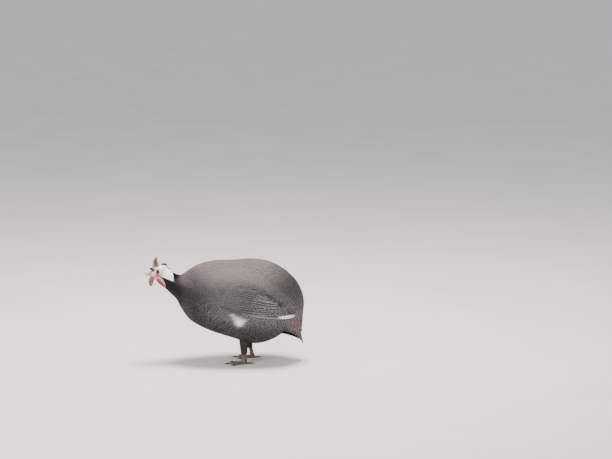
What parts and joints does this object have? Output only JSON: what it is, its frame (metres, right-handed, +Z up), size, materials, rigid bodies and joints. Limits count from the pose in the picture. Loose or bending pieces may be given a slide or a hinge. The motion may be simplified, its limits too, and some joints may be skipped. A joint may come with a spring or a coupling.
{
  "type": "helmeted guinea fowl model",
  "caption": "Life-size still model of a standing helmeted guinea fowl with casque, wattles, folded wings, drooping tail and scaled legs.",
  "frame": {"origin": "on the floor plane, under the middle of the bird's box", "axes": "+Z up, the bird looks along -X, its left side faces -Y"},
  "size_m": [0.47, 0.1986, 0.3183],
  "materials": {
    "plumage": "grey-brown feathers with fine white pearls",
    "wing_plumage": "dark grey wing feathers with rows of white spots and pale edges",
    "tail_plumage": "mauve-grey tail feathers with white spots",
    "neck_plumage": "blackish neck feathers and hackles",
    "face_skin": "bare white skin, faintly blue",
    "casque_horn": "brown horn, satin",
    "bill_horn": "pale horn, pink at the base",
    "wattle_skin": "red skin with a pink rim",
    "eye": "glossy dark brown",
    "leg_scale": "dark brown-grey scales"
  },
  "bodies": {
    "root": {"torso": "plumage", "neck": "neck_plumage", "head": "face_skin", "casque": "casque_horn", "bill_upper": "bill_horn", "bill_lower": "bill_horn", "wattle_left": "wattle_skin", "wattle_right": "wattle_skin", "eye_left": "eye", "eye_right": "eye", "wing_left": "wing_plumage", "wing_right": "wing_plumage", "tail": "tail_plumage", "thigh_left": "plumage", "thigh_right": "plumage", "shank_left": "leg_scale", "shank_right": "leg_scale", "foot_left": "leg_scale", "foot_right": "leg_scale"}
  },
  "joints": []
}
